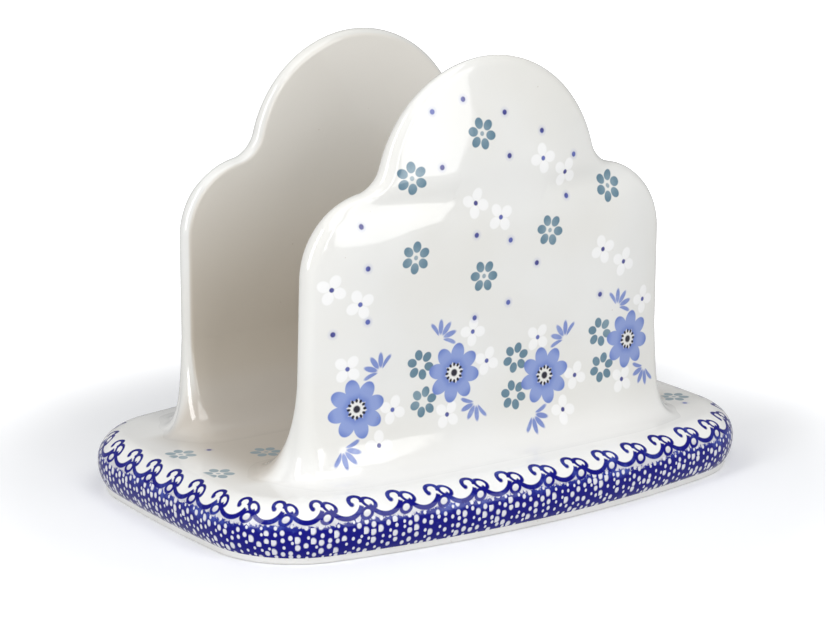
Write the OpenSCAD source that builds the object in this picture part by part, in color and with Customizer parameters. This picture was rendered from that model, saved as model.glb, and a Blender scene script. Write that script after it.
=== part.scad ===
// Napkin holder in glazed stoneware: a footed base with a bowed outline and two
// upright cloud-shaped walls that hold the napkins between them.
// Millimetres, +Z up, +X along the length, origin at the middle of the foot on the table.

/* [Base] */
// Length of the base along X
base_l = 165; // [150:1:210]
// Width of the base along Y, at its middle
base_w = 114; // [106:1:150]
// Height of the base's flat top above the table
base_h = 15.5; // [13:0.5:22]
// Radius of the base's corners
corner_r = 27; // [20:1:36]
// How far the long sides bow outwards
long_bow = 5.3; // [1:0.1:8]
// How far the short sides bow outwards
short_bow = 1; // [0.5:0.1:4]
// Width of the rim's rounding on the top
rim_round_w = 7.5; // [5:0.1:9]
// Height of the rim's rounding on the side
rim_round_h = 7.5; // [5:0.1:9]

/* [Foot] */
// Height of the bare foot ring
foot_h = 1.8; // [1:0.1:3]
// Width of the foot ring
foot_w = 7; // [5:0.5:12]
// How far the base's side draws in towards the foot
side_tuck = 2; // [0.5:0.1:3]
// Height of the hollow under the base, above the table
recess_h = 7.5; // [6:0.5:9]
// Radius of the hollow's upper edge
recess_round = 3.5; // [1:0.5:4]

/* [Walls] */
// Gap for the napkins between the walls, at the base's top
gap = 51; // [40:1:56]
// Thickness of each wall
wall_t = 7.7; // [6.9:0.1:9]
// Width of each wall at its shoulders
wall_w = 112.6; // [100:0.2:118]
// Height of the domes above the table
wall_h = 117.5; // [108:0.5:140]
// Height of the shoulders above the table
shoulder_h = 86.5; // [78:0.5:94]
// Radius of the shoulders
shoulder_r = 20.5; // [14:0.5:24]
// Radius of the domes
dome_r = 34; // [28:0.5:38]
// Radius of the hollow between a shoulder and the dome
notch_r = 8.5; // [5:0.5:14]
// How far the walls lean outwards, in degrees
wall_lean = 1.5; // [0:0.1:3]
// How far a wall's sides spread upwards, in degrees. Below zero they draw in
side_spread = -1; // [-2:0.1:2]

/* [Wall edges] */
// Radius of the edge next to the napkins
inner_round = 2.2; // [1:0.1:2.6]
// Depth of the outer face's rounding, through the wall
outer_round_d = 4.5; // [2:0.1:5]
// Width of the outer face's rounding, across the face
outer_round_w = 11; // [4:0.5:12]

/* [Flares] */
// Height of the flare at the foot of each wall
flare_h = 24; // [12:0.5:30]
// Reach of the flare towards the napkins
flare_in_w = 16; // [8:0.5:20]
// Reach of the flare past a wall's inner corners
flare_turn_w = 12; // [6:0.5:14]
// Reach of the flare past a wall's ends
flare_end_w = 6.5; // [4:0.5:12]
// Reach of the flare past a wall's outer corners
flare_corner_w = 6.5; // [4:0.5:10]
// Reach of the flare in front of a wall's outer face
flare_out_w = 11; // [5:0.5:13]

/* [Hidden] */

// Steps along each arc of the outlines and edges
corner_steps = 12;
bow_steps = 12;
end_steps = 5;
rim_steps = 8;
side_steps = 4;
recess_steps = 4;
shoulder_steps = 14;
notch_steps = 9;
dome_steps = 20;
inner_steps = 5;
outer_steps = 9;
flare_steps = 10;
blend_steps = 4;

// How far round its arc the base's side is drawn before it meets the foot, in degrees
tuck_turn = 60;

// Base outline: two long arcs, two short arcs and four corner arcs, all tangent
half_l = base_l / 2;
half_w = base_w / 2;
long_arc_r = (pow(half_l - corner_r, 2) + pow(long_bow, 2)) / (2 * long_bow);
short_arc_r = (pow(half_w - corner_r, 2) + pow(short_bow, 2)) / (2 * short_bow);
long_arc_c = [0, half_w - long_arc_r];
short_arc_c = [half_l - short_arc_r, 0];
corner_c = meet(short_arc_c, short_arc_r - corner_r, long_arc_c, long_arc_r - corner_r);
short_arc_end = bearing(corner_c - short_arc_c);
long_arc_start = bearing(corner_c - long_arc_c);

// Height at which the side is widest, below the rim's rounding
belly_z = base_h - rim_round_h;
tuck_reach = side_tuck / (1 - cos(tuck_turn));
tuck_drop = (belly_z - foot_h) / sin(tuck_turn);
// Inset of the hollow's wall from the base's outline
recess_inset = side_tuck + foot_w;

// Wall outline: straight sides, round shoulders, hollow notches and a round dome
shoulder_c = [wall_w / 2 - shoulder_r, shoulder_h - shoulder_r];
dome_c = [0, wall_h - dome_r];
notch_c = meet(shoulder_c, shoulder_r + notch_r, dome_c, dome_r + notch_r, -1);
shoulder_end = bearing(notch_c - shoulder_c);
dome_start = bearing(notch_c - dome_c);

// The flare stays on the base's flat top and leaves the two walls' flares apart
flare_room = half_w - long_bow - rim_round_w - gap / 2 - wall_t + outer_round_d;
flare_out = min(flare_out_w, flare_room);
flare_in = min(flare_in_w, gap / 2);
// Thickness that the flare keeps up its height
flare_skin = 0.3;
// How hollow the flare's curve is: 2 is a quarter of an ellipse, and more is tighter
flare_power = 2.5;
flare_power_turn = 0.5;
// Bearings in plan at which the reaches hold, from the inner side round the end to the outer face
flare_bearings = [-90, -35, 0, 40, 90];
flare_reaches = [flare_in, flare_turn_w, flare_end_w, flare_corner_w, flare_out];
flare_table = concat(
    [for (i = [0 : len(flare_reaches) - 2]) each
        [for (k = [0 : blend_steps - 1])
            let (s = k / blend_steps)
            [between(flare_bearings[i], flare_bearings[i + 1], s),
             between(flare_reaches[i], flare_reaches[i + 1], eased(s))]]],
    [[90, flare_out]]
);

// Bearing of a 2D direction, in degrees
function bearing(v) = atan2(v.y, v.x);

// Number a share of the way from one to another
function between(a, b, s) = a + (b - a) * s;

// Share that starts and ends gently
function eased(s) = (1 - cos(180 * s)) / 2;

// Point of a circle
function on_circle(c, r, a) = c + r * [cos(a), sin(a)];

// Point where two circles cross, on the left of the way from p to q, or on its right
function meet(p, rp, q, rq, side = 1) =
    let (d = norm(q - p))
    let (u = (q - p) / d)
    let (along = (rp * rp - rq * rq + d * d) / (2 * d))
    let (off = sqrt(max(rp * rp - along * along, 0)))
    p + along * u + side * off * [-u.y, u.x];

// Points of an arc from one bearing to another, with or without its last point
function arc(c, r, from, to, steps, last = false) =
    [for (i = [0 : steps - (last ? 0 : 1)]) on_circle(c, r, from + (to - from) * i / steps)];

// A quarter of the base's outline, drawn in by an inset
function base_quarter(inset) = concat(
    arc(short_arc_c, short_arc_r - inset, 0, short_arc_end, end_steps),
    arc(corner_c, corner_r - inset, short_arc_end, long_arc_start, corner_steps),
    arc(long_arc_c, long_arc_r - inset, long_arc_start, 90, bow_steps, true)
);

// List in reverse order
function backwards(list) = [for (i = [len(list) - 1 : -1 : 0]) list[i]];

// List without its first item
function tail(list) = [for (i = [1 : len(list) - 1]) list[i]];

// List without its last item
function front(list) = [for (i = [0 : len(list) - 2]) list[i]];

// The whole base outline, anticlockwise from the middle of the +X end
function base_outline(inset) =
    let (q = base_quarter(inset))
    concat(
        q,
        tail([for (p = backwards(q)) [-p.x, p.y]]),
        tail([for (p = q) [-p.x, -p.y]]),
        front(tail([for (p = backwards(q)) [p.x, -p.y]]))
    );

// Outline at a height
function ring(outline, z) = [for (p = outline) [p.x, p.y, z]];

// Insets and heights of the base's skin, from the hollow's ceiling out and up to the top
function base_skin() = concat(
    [for (i = [0 : recess_steps])
        let (a = 90 * i / recess_steps)
        [recess_inset + recess_round * (1 - sin(a)), recess_h - recess_round * (1 - cos(a))]],
    [[recess_inset, foot_h]],
    [for (i = [0 : side_steps - 1])
        let (a = tuck_turn * (1 - i / side_steps))
        [tuck_reach * (1 - cos(a)), belly_z - tuck_drop * sin(a)]],
    [for (i = [0 : rim_steps])
        let (a = 90 * i / rim_steps)
        [rim_round_w * (1 - cos(a)), belly_z + rim_round_h * sin(a)]]
);

// Layers of a wall from its inner face to its outer face: depth into the wall, inset of
// the outline, and the edge's own outward direction as [along X, through the wall]
function wall_layers() = concat(
    [for (i = [0 : inner_steps])
        let (a = 90 * i / inner_steps)
        [inner_round * (1 - cos(a)), inner_round * (1 - sin(a)), [sin(a), -cos(a)]]],
    [for (i = [0 : outer_steps])
        let (a = 90 * i / outer_steps)
        let (n = [cos(a) / outer_round_w, sin(a) / outer_round_d])
        [wall_t - outer_round_d * (1 - sin(a)), outer_round_w * (1 - cos(a)), n / norm(n)]]
);

// Where a wall's side stands at a height, for an inset of the outline
function side_x(inset, z) =
    shoulder_c.x + (shoulder_r - inset) / cos(side_spread) + tan(side_spread) * (z - shoulder_c.y);

// Half of a wall's outline as [x, z], from the foot of its side up to the dome's top
function wall_half(inset) = concat(
    [[side_x(inset, base_h), base_h]],
    arc(shoulder_c, shoulder_r - inset, -side_spread, shoulder_end, shoulder_steps),
    arc(notch_c, notch_r + inset, shoulder_end + 180, dome_start + 180, notch_steps),
    arc(dome_c, dome_r - inset, dome_start, 90, dome_steps, true)
);

// Place through the gap and the walls: depth from the inner face, with the lean
function wall_y(depth, z) = gap / 2 + depth + tan(wall_lean) * (z - base_h);

// One layer of the back wall, from the foot of the +X side over the dome to the -X side
function wall_ring(layer) =
    let (half = wall_half(layer[1]))
    [for (p = concat(half, tail([for (q = backwards(half)) [-q.x, q.y]])))
        [p.x, wall_y(layer[0], p.y), p.y]];

// How far the flare stands out from the wall in a direction in plan. Spread is 1 at its
// foot and 0 at its top
function flare_off(n, spread) =
    let (power = flare_power + flare_power_turn * n.y)
    lookup(bearing([n.x, n.y]), flare_table) * (1 - pow(1 - pow(spread, power), 1 / power))
        + flare_skin * 4 * spread * (1 - spread);

// The wall's plan outline at a height, grown by the flare
function flare_ring(spread, z) =
    let (right = [for (l = wall_layers())
        let (off = flare_off(l[2], spread))
        [side_x(l[1], z) + off * l[2].x, wall_y(l[0] + off * l[2].y, z), z]])
    concat(right, [for (p = backwards(right)) [-p.x, p.y, p.z]]);

// Faces between two rings of n points that start at a and b, as triangles
function band(a, b, n) = [
    for (i = [0 : n - 1])
        let (j = (i + 1) % n)
        each [[a + i, b + i, b + j], [a + i, b + j, a + j]]
];

// Solid through rings of equal count, closed by its first and last ring
module loft(rings) {
    n = len(rings[0]);
    m = len(rings);
    polyhedron(
        points = [for (r = rings) each r],
        faces = concat(
            [[for (i = [0 : n - 1]) i]],
            [for (k = [0 : m - 2]) each band(k * n, (k + 1) * n, n)],
            [[for (i = [n - 1 : -1 : 0]) (m - 1) * n + i]]
        )
    );
}

// Ring-shaped solid whose last ring joins its first
module loop_loft(rings) {
    n = len(rings[0]);
    m = len(rings);
    polyhedron(
        points = [for (r = rings) each r],
        faces = [for (k = [0 : m - 1]) each band(k * n, ((k + 1) % m) * n, n)]
    );
}

// Bare ring that the holder stands on
module foot_ring() {
    color("ivory")
        linear_extrude(height = foot_h)
            difference() {
                polygon(base_outline(side_tuck));
                polygon(base_outline(recess_inset));
            }
}

// Base with its rounded rim, flat top and hollow underside
module base_tray() {
    color("white")
        loft([for (s = base_skin()) ring(base_outline(s[0]), s[1])]);
}

// One wall, on the +Y side of the gap
module wall() {
    loft([for (l = backwards(wall_layers())) wall_ring(l)]);
}

// Flare of thickened clay that leads the +Y wall into the base
module flare() {
    skin = [for (i = [0 : flare_steps])
        let (a = 90 * i / flare_steps)
        [cos(a), base_h + flare_h * (1 - cos(a))]];
    loop_loft(concat([for (s = skin) flare_ring(s[0], s[1])], [flare_ring(0, base_h)]));
}

// Wall on the side of the viewer
module front_wall() {
    color("whitesmoke") mirror([0, 1, 0]) wall();
}

// Wall on the far side
module back_wall() {
    color("whitesmoke") wall();
}

// Flare round the foot of the front wall
module front_flare() {
    color("white") mirror([0, 1, 0]) flare();
}

// Flare round the foot of the back wall
module back_flare() {
    color("white") flare();
}

foot_ring();
base_tray();
front_wall();
back_wall();
front_flare();
back_flare();
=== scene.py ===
"""Dresses a glazed stoneware napkin holder: a tray base, two lobed walls with flared feet and a bare clay foot.

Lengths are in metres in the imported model's frame. Patterns are worked out in millimetres.
"""

import logging
import math
from dataclasses import dataclass, field
from enum import Enum
from functools import partial, reduce
from typing import Callable, Iterable, Sequence

import bmesh
import bpy
from mathutils import Matrix, Vector

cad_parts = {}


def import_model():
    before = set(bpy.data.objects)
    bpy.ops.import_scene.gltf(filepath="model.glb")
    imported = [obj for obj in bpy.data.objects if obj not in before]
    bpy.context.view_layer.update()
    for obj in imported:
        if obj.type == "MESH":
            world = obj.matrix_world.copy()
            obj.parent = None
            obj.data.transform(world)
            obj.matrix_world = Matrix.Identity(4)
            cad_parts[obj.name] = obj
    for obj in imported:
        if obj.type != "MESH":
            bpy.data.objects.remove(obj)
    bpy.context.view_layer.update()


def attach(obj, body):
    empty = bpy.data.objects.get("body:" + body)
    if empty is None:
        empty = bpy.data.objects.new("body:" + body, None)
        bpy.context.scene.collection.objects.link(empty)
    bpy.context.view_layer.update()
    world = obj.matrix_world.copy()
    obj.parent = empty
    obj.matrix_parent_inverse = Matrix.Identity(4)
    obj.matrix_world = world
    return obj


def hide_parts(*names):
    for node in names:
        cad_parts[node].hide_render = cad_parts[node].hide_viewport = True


LOG = logging.getLogger("napkin_holder")
MM = 0.001
RIM_MAP = "rim"
Colour = tuple[float, float, float, float]
Point = tuple[float, float]

# Points closer than this are one point.
MERGE = 0.01 * MM
# A Mix node holds a set of sockets for each kind of data. These are the colours' ones.
MIX_SHARE, MIX_UNDER, MIX_OVER, MIX_RESULT = 0, 6, 7, 2
# The painted shade of the trough, in millimetres: where it starts and where it is whole.
TROUGH_SIDE, TROUGH_END = (27.0, 22.0), (75.0, 58.0)
# The flat top's corner circle, and the flares' edges on it, in millimetres.
TOP_CORNER, TOP_CORNER_R = (55.5, 25.0), 20.0
FLARE_END, FLARE_INSIDE, FLARE_OUTSIDE = 64.0, 9.5, 44.2


class Side(Enum):
    """Which of the two walls a piece belongs to, as the sign of its Y."""

    FRONT = -1
    BACK = 1


def srgb(red: float, green: float, blue: float) -> Colour:
    """Turns a colour as seen on a screen, 0 to 255, into the linear numbers a shader takes.

    Args:
        red: Red, 0 to 255.
        green: Green, 0 to 255.
        blue: Blue, 0 to 255.

    Returns:
        The linear colour with an alpha of 1.
    """

    def linear(level: float) -> float:
        """Undoes the screen's curve for one channel."""
        part = level / 255
        return part / 12.92 if part <= 0.04045 else ((part + 0.055) / 1.055) ** 2.4

    return (linear(red), linear(green), linear(blue), 1.0)


# Shader wiring


class Num:
    """A number socket of a node tree. Python's arithmetic carries it on with Math nodes."""

    def __init__(self, tree: bpy.types.NodeTree, socket: bpy.types.NodeSocket) -> None:
        """Holds the tree and the output socket."""
        self.tree = tree
        self.socket = socket

    def math(self, operation: str, *others: "Num | float") -> "Num":
        """Adds one Math node.

        Args:
            operation: The Math node's operation.
            others: Its further operands.

        Returns:
            The node's result.
        """
        node = self.tree.nodes.new("ShaderNodeMath")
        node.operation = operation
        for socket, value in zip(node.inputs, (self, *others)):
            feed(self.tree, socket, value)
        return Num(self.tree, node.outputs[0])

    def __add__(self, other: "Num | float") -> "Num":
        """Sum."""
        return self.math("ADD", other)

    def __sub__(self, other: "Num | float") -> "Num":
        """Difference."""
        return self.math("SUBTRACT", other)

    def __mul__(self, other: "Num | float") -> "Num":
        """Product."""
        return self.math("MULTIPLY", other)

    def __truediv__(self, other: "Num | float") -> "Num":
        """Quotient."""
        return self.math("DIVIDE", other)

    def hypot(self, other: "Num") -> "Num":
        """Length of the vector made with another number."""
        return (self * self + other * other).math("SQRT")

    def wrap(self, half: "Num | float") -> "Num":
        """Folds the number into -half to half."""
        low = half * -1.0 if isinstance(half, Num) else -half
        return self.math("WRAP", half, low)

    def ramp(self, zero_at: "Num | float", one_at: "Num | float") -> "Num":
        """Smooth step from 0 to 1, which may run downwards.

        Args:
            zero_at: Where the result is 0.
            one_at: Where the result is 1.

        Returns:
            The step, between 0 and 1.
        """
        node = self.tree.nodes.new("ShaderNodeMapRange")
        node.interpolation_type = "SMOOTHSTEP"
        feed(self.tree, node.inputs["Value"], self)
        feed(self.tree, node.inputs["From Min"], zero_at)
        feed(self.tree, node.inputs["From Max"], one_at)
        return Num(self.tree, node.outputs["Result"])


def feed(tree: bpy.types.NodeTree, socket: bpy.types.NodeSocket, value: object) -> None:
    """Links a socket to a number, or sets its own value.

    Args:
        tree: The node tree of the socket.
        socket: The input socket.
        value: A Num, an output socket, or a plain value.
    """
    if isinstance(value, Num):
        tree.links.new(value.socket, socket)
    elif isinstance(value, bpy.types.NodeSocket):
        tree.links.new(value, socket)
    else:
        socket.default_value = value


def blend_colour(tree: bpy.types.NodeTree, share: "Num | float", under: object, over: object) -> bpy.types.NodeSocket:
    """Lays one colour over another.

    Args:
        tree: The node tree.
        share: How much of the upper colour shows, 0 to 1.
        under: Colour or socket below.
        over: Colour or socket above.

    Returns:
        The mixed colour's socket.
    """
    node = tree.nodes.new("ShaderNodeMix")
    node.data_type = "RGBA"
    feed(tree, node.inputs[MIX_SHARE], share)
    feed(tree, node.inputs[MIX_UNDER], under)
    feed(tree, node.inputs[MIX_OVER], over)
    return node.outputs[MIX_RESULT]


def noise(tree: bpy.types.NodeTree, place: object, scale: float, detail: float = 2.0, rough: float = 0.5) -> Num:
    """Adds a noise texture and returns its factor.

    Args:
        tree: The node tree.
        place: Vector socket that it reads.
        scale: Waves for each unit of that vector.
        detail: Octaves.
        rough: Strength of the finer octaves.

    Returns:
        The factor, around 0.5.
    """
    node = tree.nodes.new("ShaderNodeTexNoise")
    feed(tree, node.inputs["Vector"], place)
    node.inputs["Scale"].default_value = scale
    node.inputs["Detail"].default_value = detail
    node.inputs["Roughness"].default_value = rough
    return Num(tree, node.outputs["Fac"])


def join_xyz(tree: bpy.types.NodeTree, x: "Num | float", y: "Num | float", z: "Num | float") -> bpy.types.NodeSocket:
    """Makes a vector from three numbers.

    Args:
        tree: The node tree.
        x: First part.
        y: Second part.
        z: Third part.

    Returns:
        The vector's socket.
    """
    node = tree.nodes.new("ShaderNodeCombineXYZ")
    for socket, value in zip(node.inputs, (x, y, z)):
        feed(tree, socket, value)
    return node.outputs[0]


def split_xyz(tree: bpy.types.NodeTree, vector: object) -> tuple[Num, Num, Num]:
    """Takes a vector apart into three numbers.

    Args:
        tree: The node tree.
        vector: The vector's socket.

    Returns:
        Its three parts.
    """
    node = tree.nodes.new("ShaderNodeSeparateXYZ")
    feed(tree, node.inputs[0], vector)
    return Num(tree, node.outputs[0]), Num(tree, node.outputs[1]), Num(tree, node.outputs[2])


def most(numbers: Iterable[Num]) -> Num:
    """Takes the largest of some numbers."""
    return reduce(lambda one, other: one.math("MAXIMUM", other), numbers)


def new_material(name: str) -> tuple[bpy.types.Material, bpy.types.NodeTree, bpy.types.Node]:
    """Starts a material.

    Args:
        name: Its name.

    Returns:
        The material, its tree and its Principled shader.
    """
    made = bpy.data.materials.new(name)
    made.use_nodes = True
    return made, made.node_tree, made.node_tree.nodes["Principled BSDF"]


def roughen(tree: bpy.types.NodeTree, shader: bpy.types.Node, height: Num, strength: float, distance: float) -> None:
    """Gives a shader a bump.

    Args:
        tree: The material's tree.
        shader: Its shader.
        height: The bump's height.
        strength: How much of it shows.
        distance: Its depth, in metres.
    """
    bump = tree.nodes.new("ShaderNodeBump")
    bump.inputs["Strength"].default_value = strength
    bump.inputs["Distance"].default_value = distance
    feed(tree, bump.inputs["Height"], height)
    feed(tree, shader.inputs["Normal"], bump.outputs[0])


def seen_straight(tree: bpy.types.NodeTree) -> tuple[bpy.types.Node, Num]:
    """Adds a Light Path node.

    Args:
        tree: The tree of a material or of the world.

    Returns:
        The node, and a number that is 1 for what the camera sees straight or through something clear.
    """
    path = tree.nodes.new("ShaderNodeLightPath")
    return path, most(Num(tree, path.outputs[f"Is {kind} Ray"]) for kind in ("Camera", "Transmission"))


class Kind(Enum):
    """Socket kinds that the shared groups use."""

    NUMBER = "NodeSocketFloat"
    VECTOR = "NodeSocketVector"


class Effect:
    """A shader node group, built once and then placed in each material with its own values."""

    title: str = "effect"
    takes: dict[str, Kind] = {}
    gives: dict[str, Kind] = {}
    built: dict[str, bpy.types.NodeTree] = {}

    def wire(self, tree: bpy.types.NodeTree, given: dict[str, Num]) -> dict[str, object]:
        """Builds the inside of the group.

        Args:
            tree: The group's tree.
            given: The group's inputs by name.

        Returns:
            The outputs by name.
        """
        raise NotImplementedError

    def group(self) -> bpy.types.NodeTree:
        """Builds the group at the first call.

        Returns:
            The group's tree.
        """
        if self.title not in Effect.built:
            tree = bpy.data.node_groups.new(self.title, "ShaderNodeTree")
            for name, kind in self.takes.items():
                tree.interface.new_socket(name=name, in_out="INPUT", socket_type=kind.value)
            for name, kind in self.gives.items():
                tree.interface.new_socket(name=name, in_out="OUTPUT", socket_type=kind.value)
            way_in = tree.nodes.new("NodeGroupInput")
            way_out = tree.nodes.new("NodeGroupOutput")
            given = {name: Num(tree, way_in.outputs[name]) for name in self.takes}
            for name, value in self.wire(tree, given).items():
                feed(tree, way_out.inputs[name], value)
            Effect.built[self.title] = tree
        return Effect.built[self.title]

    def place(self, tree: bpy.types.NodeTree, **values: object) -> dict[str, Num]:
        """Places the group in a tree.

        Args:
            tree: The tree that uses the group.
            values: Input values or sockets, by input name.

        Returns:
            Its outputs by name.
        """
        node = tree.nodes.new("ShaderNodeGroup")
        node.node_tree = self.group()
        for name, value in values.items():
            feed(tree, node.inputs[name], value)
        return {name: Num(tree, node.outputs[name]) for name in self.gives}


class Petals(Effect):
    """A round of equal petals, stamped about a centre."""

    title = "petal stamp"
    takes = {name: Kind.NUMBER for name in ("Across", "Up", "Count", "Reach", "Length", "Width", "Turn", "Soft")}
    gives = {"Ink": Kind.NUMBER, "Along": Kind.NUMBER, "Radius": Kind.NUMBER, "Bearing": Kind.NUMBER}

    def wire(self, tree: bpy.types.NodeTree, given: dict[str, Num]) -> dict[str, object]:
        """Folds the plane into one sector and draws one oval petal there.

        Args:
            tree: The group's tree.
            given: The inputs by name.

        Returns:
            The outputs by name.
        """
        across, up = given["Across"], given["Up"]
        radius = across.hypot(up)
        bearing = up.math("ARCTAN2", across) + given["Turn"]
        folded = bearing.wrap(given["Count"].math("POWER", -1.0) * math.pi)
        along = (radius * folded.math("COSINE") - given["Reach"]) / given["Length"]
        aside = radius * folded.math("SINE") / given["Width"]
        ink = along.hypot(aside).ramp(given["Soft"] + 1.0, given["Soft"] * -1.0 + 1.0)
        return {"Ink": ink, "Along": along, "Radius": radius, "Bearing": bearing}


class Spot(Effect):
    """A brushed dot with a soft halo."""

    title = "brush dot"
    takes = {name: Kind.NUMBER for name in ("Across", "Up", "Radius")}
    gives = {"Ink": Kind.NUMBER, "Halo": Kind.NUMBER}

    def wire(self, tree: bpy.types.NodeTree, given: dict[str, Num]) -> dict[str, object]:
        """Draws a disc and the stain round it.

        Args:
            tree: The group's tree.
            given: The inputs by name.

        Returns:
            The outputs by name.
        """
        away = given["Across"].hypot(given["Up"]) / given["Radius"]
        return {"Ink": away.ramp(1.25, 0.75), "Halo": away.ramp(2.6, 0.9)}


class Lattice(Effect):
    """Repeats a motif over a plane in half-drop columns, each place a little off and turned by chance."""

    title = "half-drop lattice"
    takes = {name: Kind.NUMBER for name in ("Across", "Up", "Pitch", "Rise", "Drop", "Jitter", "Seed", "Columns")}
    gives = {name: Kind.NUMBER for name in ("Across", "Up", "Pick", "Turn")}

    def wire(self, tree: bpy.types.NodeTree, given: dict[str, Num]) -> dict[str, object]:
        """Finds the cell, then the place inside it.

        Args:
            tree: The group's tree.
            given: The inputs by name.

        Returns:
            The outputs by name.
        """
        column = (given["Across"] / given["Pitch"] + 0.5).math("FLOOR")
        count = column.math("FLOORED_MODULO", given["Columns"])
        odd = count.math("FLOORED_MODULO", 2.0)
        across = given["Across"] - column * given["Pitch"]
        lifted = given["Up"] + odd * given["Drop"] * given["Rise"]
        row = (lifted / given["Rise"] + 0.5).math("FLOOR")
        up = lifted - row * given["Rise"]
        chance = tree.nodes.new("ShaderNodeTexWhiteNoise")
        chance.noise_dimensions = "3D"
        feed(tree, chance.inputs["Vector"], join_xyz(tree, count, row, given["Seed"]))
        red, green, blue = split_xyz(tree, chance.outputs["Color"])
        return {
            "Across": across - (red - 0.5) * given["Jitter"],
            "Up": up - (green - 0.5) * given["Jitter"],
            "Pick": Num(tree, chance.outputs["Value"]),
            "Turn": blue * math.tau,
        }


class CobaltWash(Effect):
    """The uneven strength of a watery pigment under glaze."""

    title = "watery pigment"
    takes = {"Place": Kind.VECTOR}
    gives = {"Strength": Kind.NUMBER, "Pool": Kind.NUMBER}

    def wire(self, tree: bpy.types.NodeTree, given: dict[str, Num]) -> dict[str, object]:
        """Mixes a fine and a broad unevenness.

        Args:
            tree: The group's tree.
            given: The inputs by name.

        Returns:
            The outputs by name.
        """
        place = given["Place"].socket
        fine = noise(tree, place, 0.9, 2.0)
        broad = noise(tree, place, 0.16, 1.0)
        return {"Strength": (fine * 0.5 + broad * 0.9).ramp(0.3, 0.78), "Pool": broad.ramp(0.42, 0.62)}


class GlazeSkin(Effect):
    """A poured glaze: its slow ripple, the tone that shifts with its thickness, and the odd fleck."""

    title = "glaze skin"
    takes = {"Place": Kind.VECTOR}
    gives = {"Height": Kind.NUMBER, "Tone": Kind.NUMBER, "Fleck": Kind.NUMBER}

    def wire(self, tree: bpy.types.NodeTree, given: dict[str, Num]) -> dict[str, object]:
        """Adds the ripple, the tone and the flecks, all in millimetres.

        Args:
            tree: The group's tree.
            given: The inputs by name.

        Returns:
            The outputs by name.
        """
        place = given["Place"].socket
        slow = noise(tree, place, 0.045, 1.0)
        small = noise(tree, place, 0.5, 1.0)
        cells = tree.nodes.new("ShaderNodeTexVoronoi")
        feed(tree, cells.inputs["Vector"], place)
        cells.inputs["Scale"].default_value = 0.11
        fleck = Num(tree, cells.outputs["Distance"]).ramp(0.024, 0.012)
        return {"Height": slow + small * 0.035, "Tone": noise(tree, place, 0.03, 2.0), "Fleck": fleck}


class FlowerField(Effect):
    """Small stamped flowers with dots between them, strewn over a field."""

    title = "strewn flowers"
    takes = {name: Kind.NUMBER for name in ("Across", "Up", "Pitch", "Rise", "Seed", "Lowest", "Slate share",
                                            "White share")}
    gives = {name: Kind.NUMBER for name in ("Slate", "White", "Dots", "Halo", "Along", "Eye", "Flower across",
                                            "Flower up", "Dot across", "Dot up")}

    def wire(self, tree: bpy.types.NodeTree, given: dict[str, Num]) -> dict[str, object]:
        """Gives each cell one slate flower, a pair of white blossoms or nothing, and three dots.

        Args:
            tree: The group's tree.
            given: The inputs by name.

        Returns:
            The outputs by name.
        """
        cell = Lattice().place(tree, Across=given["Across"], Up=given["Up"], Pitch=given["Pitch"],
                               Rise=given["Rise"], Drop=0.5, Jitter=2.6, Seed=given["Seed"], Columns=1000.0)
        across, up, pick = cell["Across"], cell["Up"], cell["Pick"]
        slate = Petals().place(tree, Across=across, Up=up, Count=6.0, Reach=2.75, Length=1.45, Width=1.2,
                               Turn=cell["Turn"], Soft=0.12)
        flower_x, flower_y = given["Across"] - across, given["Up"] - up
        whole = flower_y.math("GREATER_THAN", given["Lowest"] + 6.0)
        slate_here = (pick * -1.0 + given["Slate share"]).math("GREATER_THAN", 0.0) * whole
        middle = Spot().place(tree, Across=across, Up=up, Radius=0.6)
        white_here = (pick * -1.0 + given["White share"]).math("GREATER_THAN", 0.0) * (slate_here * -1.0 + 1.0) * whole
        whites, eyes = [], []
        for step_x, step_y, turn in ((-3.8, 2.3, 0.2), (3.7, -2.1, 0.9)):
            at_x, at_y = across - step_x, up - step_y
            blossom = Petals().place(tree, Across=at_x, Up=at_y, Count=4.0, Reach=2.25, Length=1.7, Width=1.45,
                                     Turn=cell["Turn"] + turn, Soft=0.16)
            whites.append(blossom["Ink"])
            eyes.append(Spot().place(tree, Across=at_x, Up=at_y, Radius=0.62)["Ink"])
        spread = Lattice().place(tree, Across=given["Across"] + 3.0, Up=given["Up"], Pitch=given["Pitch"] * 0.5,
                                 Rise=given["Rise"] * 0.62, Drop=0.5, Jitter=5.5, Seed=given["Seed"] + 7.0,
                                 Columns=1000.0)
        dot = Spot().place(tree, Across=spread["Across"], Up=spread["Up"], Radius=0.68)
        dot_x, dot_y = given["Across"] - spread["Across"], given["Up"] - spread["Up"]
        clear = (flower_x - dot_x).hypot(flower_y - dot_y).math("GREATER_THAN", 6.6)
        dot_whole = dot_y.math("GREATER_THAN", given["Lowest"] + 1.0)
        dot_here = (spread["Pick"] * -1.0 + 0.66).math("GREATER_THAN", 0.0) * clear * dot_whole
        dots, halo = dot["Ink"] * dot_here, dot["Halo"] * dot_here
        return {
            "Slate": slate["Ink"].math("MAXIMUM", middle["Ink"] * 0.8) * slate_here,
            "White": most(whites) * white_here,
            "Dots": dots,
            "Halo": halo,
            "Along": slate["Along"],
            "Eye": most(eyes) * white_here,
            "Flower across": flower_x,
            "Flower up": flower_y,
            "Dot across": dot_x,
            "Dot up": dot_y,
        }


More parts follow.
